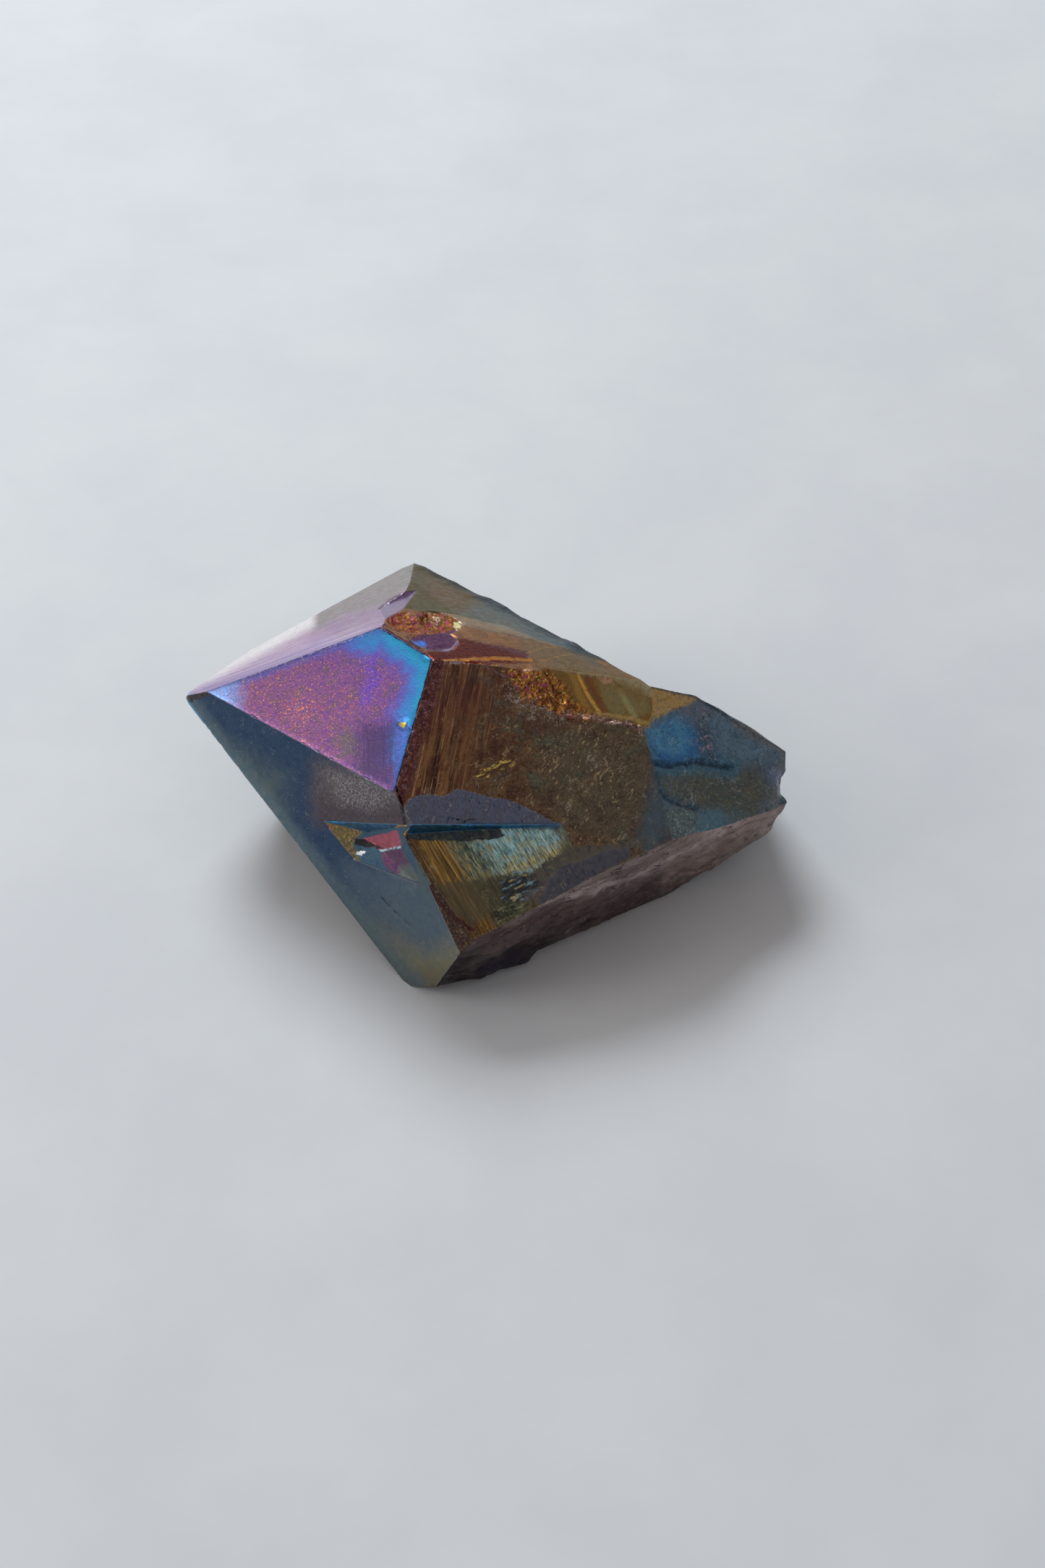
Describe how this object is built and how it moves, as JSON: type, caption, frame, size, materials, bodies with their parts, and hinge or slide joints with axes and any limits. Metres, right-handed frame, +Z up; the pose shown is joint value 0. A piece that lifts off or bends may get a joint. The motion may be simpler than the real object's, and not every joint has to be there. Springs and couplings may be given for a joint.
{
  "type": "titanium aura quartz point",
  "caption": "Coated quartz crystal tip lying on its broken base, with flat tip and prism faces, ledges, a notch and scooped chips.",
  "frame": {"origin": "on the surface the crystal lies on, under the centre of its bounding box", "axes": "+X runs from the tip towards the broken end, +Y across the crystal away from its front prism face, +Z up"},
  "size_m": [0.0494, 0.0384, 0.0222],
  "materials": {
    "aura_quartz": "quartz with a thin iridescent metal-oxide coating: bronze and olive prism faces, a magenta, violet and cyan tip face, a steel-blue lower face and gold and pink chips"
  },
  "bodies": {
    "root": {"quartz_point": "aura_quartz"}
  },
  "joints": []
}
